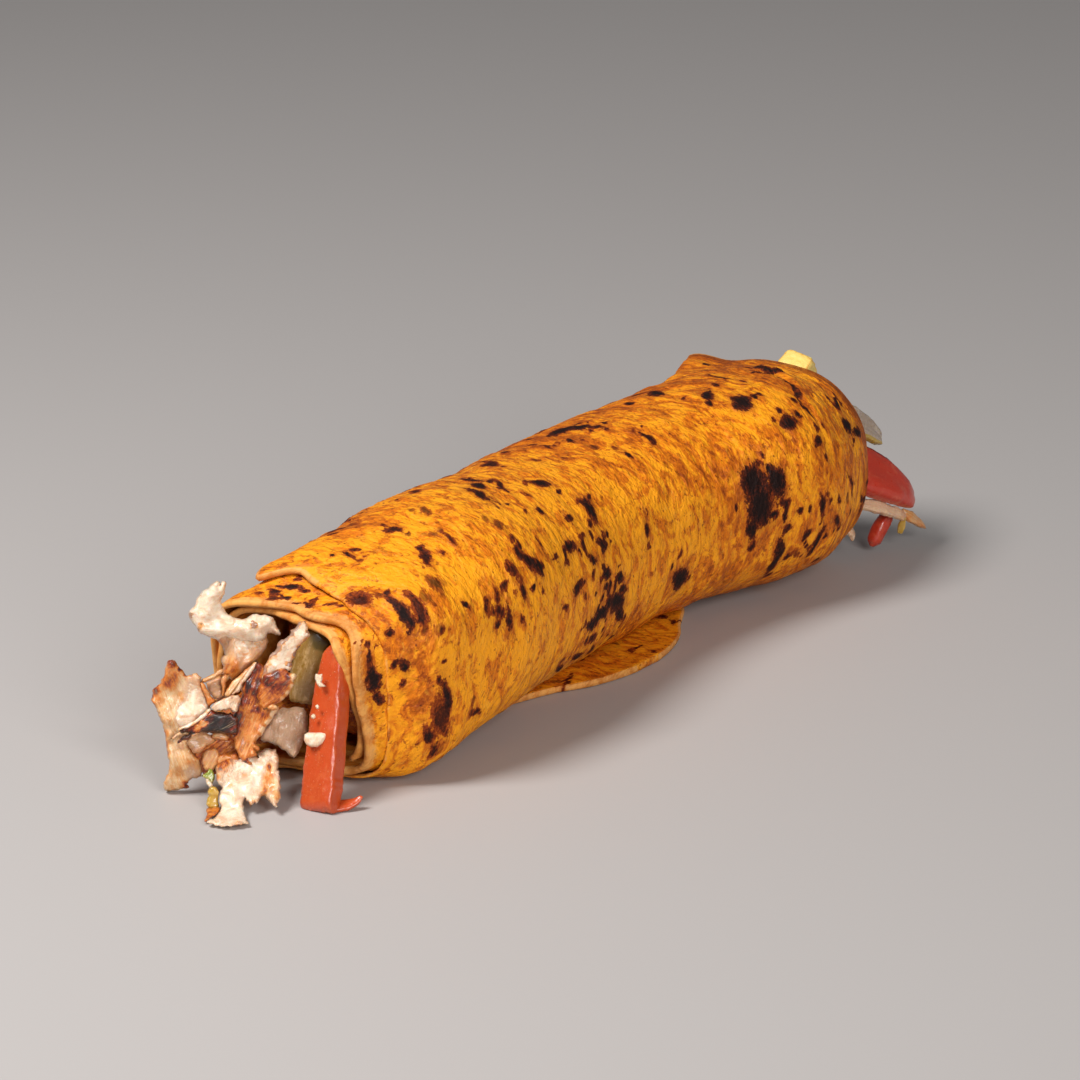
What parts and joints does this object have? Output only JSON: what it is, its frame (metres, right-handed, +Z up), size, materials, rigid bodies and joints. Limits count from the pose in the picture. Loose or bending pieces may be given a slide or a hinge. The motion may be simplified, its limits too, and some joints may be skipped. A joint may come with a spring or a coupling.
{
  "type": "doner kebab wrap",
  "caption": "Thin flatbread rolled tightly round chicken doner, tomato, pickle and fried potato, open at both ends, with its round end lying out as a flap.",
  "frame": {"origin": "bottom centre of the whole wrap, on the surface that it lies on", "axes": "+X along the roll away from its overflowing end, +Y to the back, away from the flap, +Z up"},
  "size_m": [0.2858, 0.0733, 0.0611],
  "materials": {
    "bread": "baked, matt, golden with char marks",
    "chicken": "moist roasted meat",
    "browned_chicken": "browned, crisp edge, moist",
    "sauced_chicken": "meat under pale garlic sauce",
    "tomato": "wet cut tomato",
    "pickle": "wet pickled cucumber",
    "potato": "fried potato"
  },
  "bodies": {
    "root": {"flatbread": "bread", "chicken_filling": "chicken", "tomato_strip": "tomato", "pickle_slice": "pickle", "chicken_charred": "browned_chicken", "chicken_charred_strip": "browned_chicken", "chicken_fan": "chicken", "chicken_saucy_top": "sauced_chicken", "chicken_saucy_middle": "sauced_chicken", "chicken_saucy_low": "sauced_chicken", "chicken_saucy_low_tip": "sauced_chicken", "chicken_grey": "chicken", "chicken_shred_upper": "chicken", "chicken_shred_lower": "chicken", "chicken_inner": "chicken", "pickle_bit_near": "pickle", "herb_near": "pickle", "tomato_wedge_far": "tomato", "pickle_slab_far": "pickle", "chicken_strip_far": "sauced_chicken", "chicken_shred_far": "chicken", "chicken_inner_far": "chicken", "fry_far": "potato", "tomato_bit_far": "tomato", "pickle_bit_far": "pickle"}
  },
  "joints": []
}
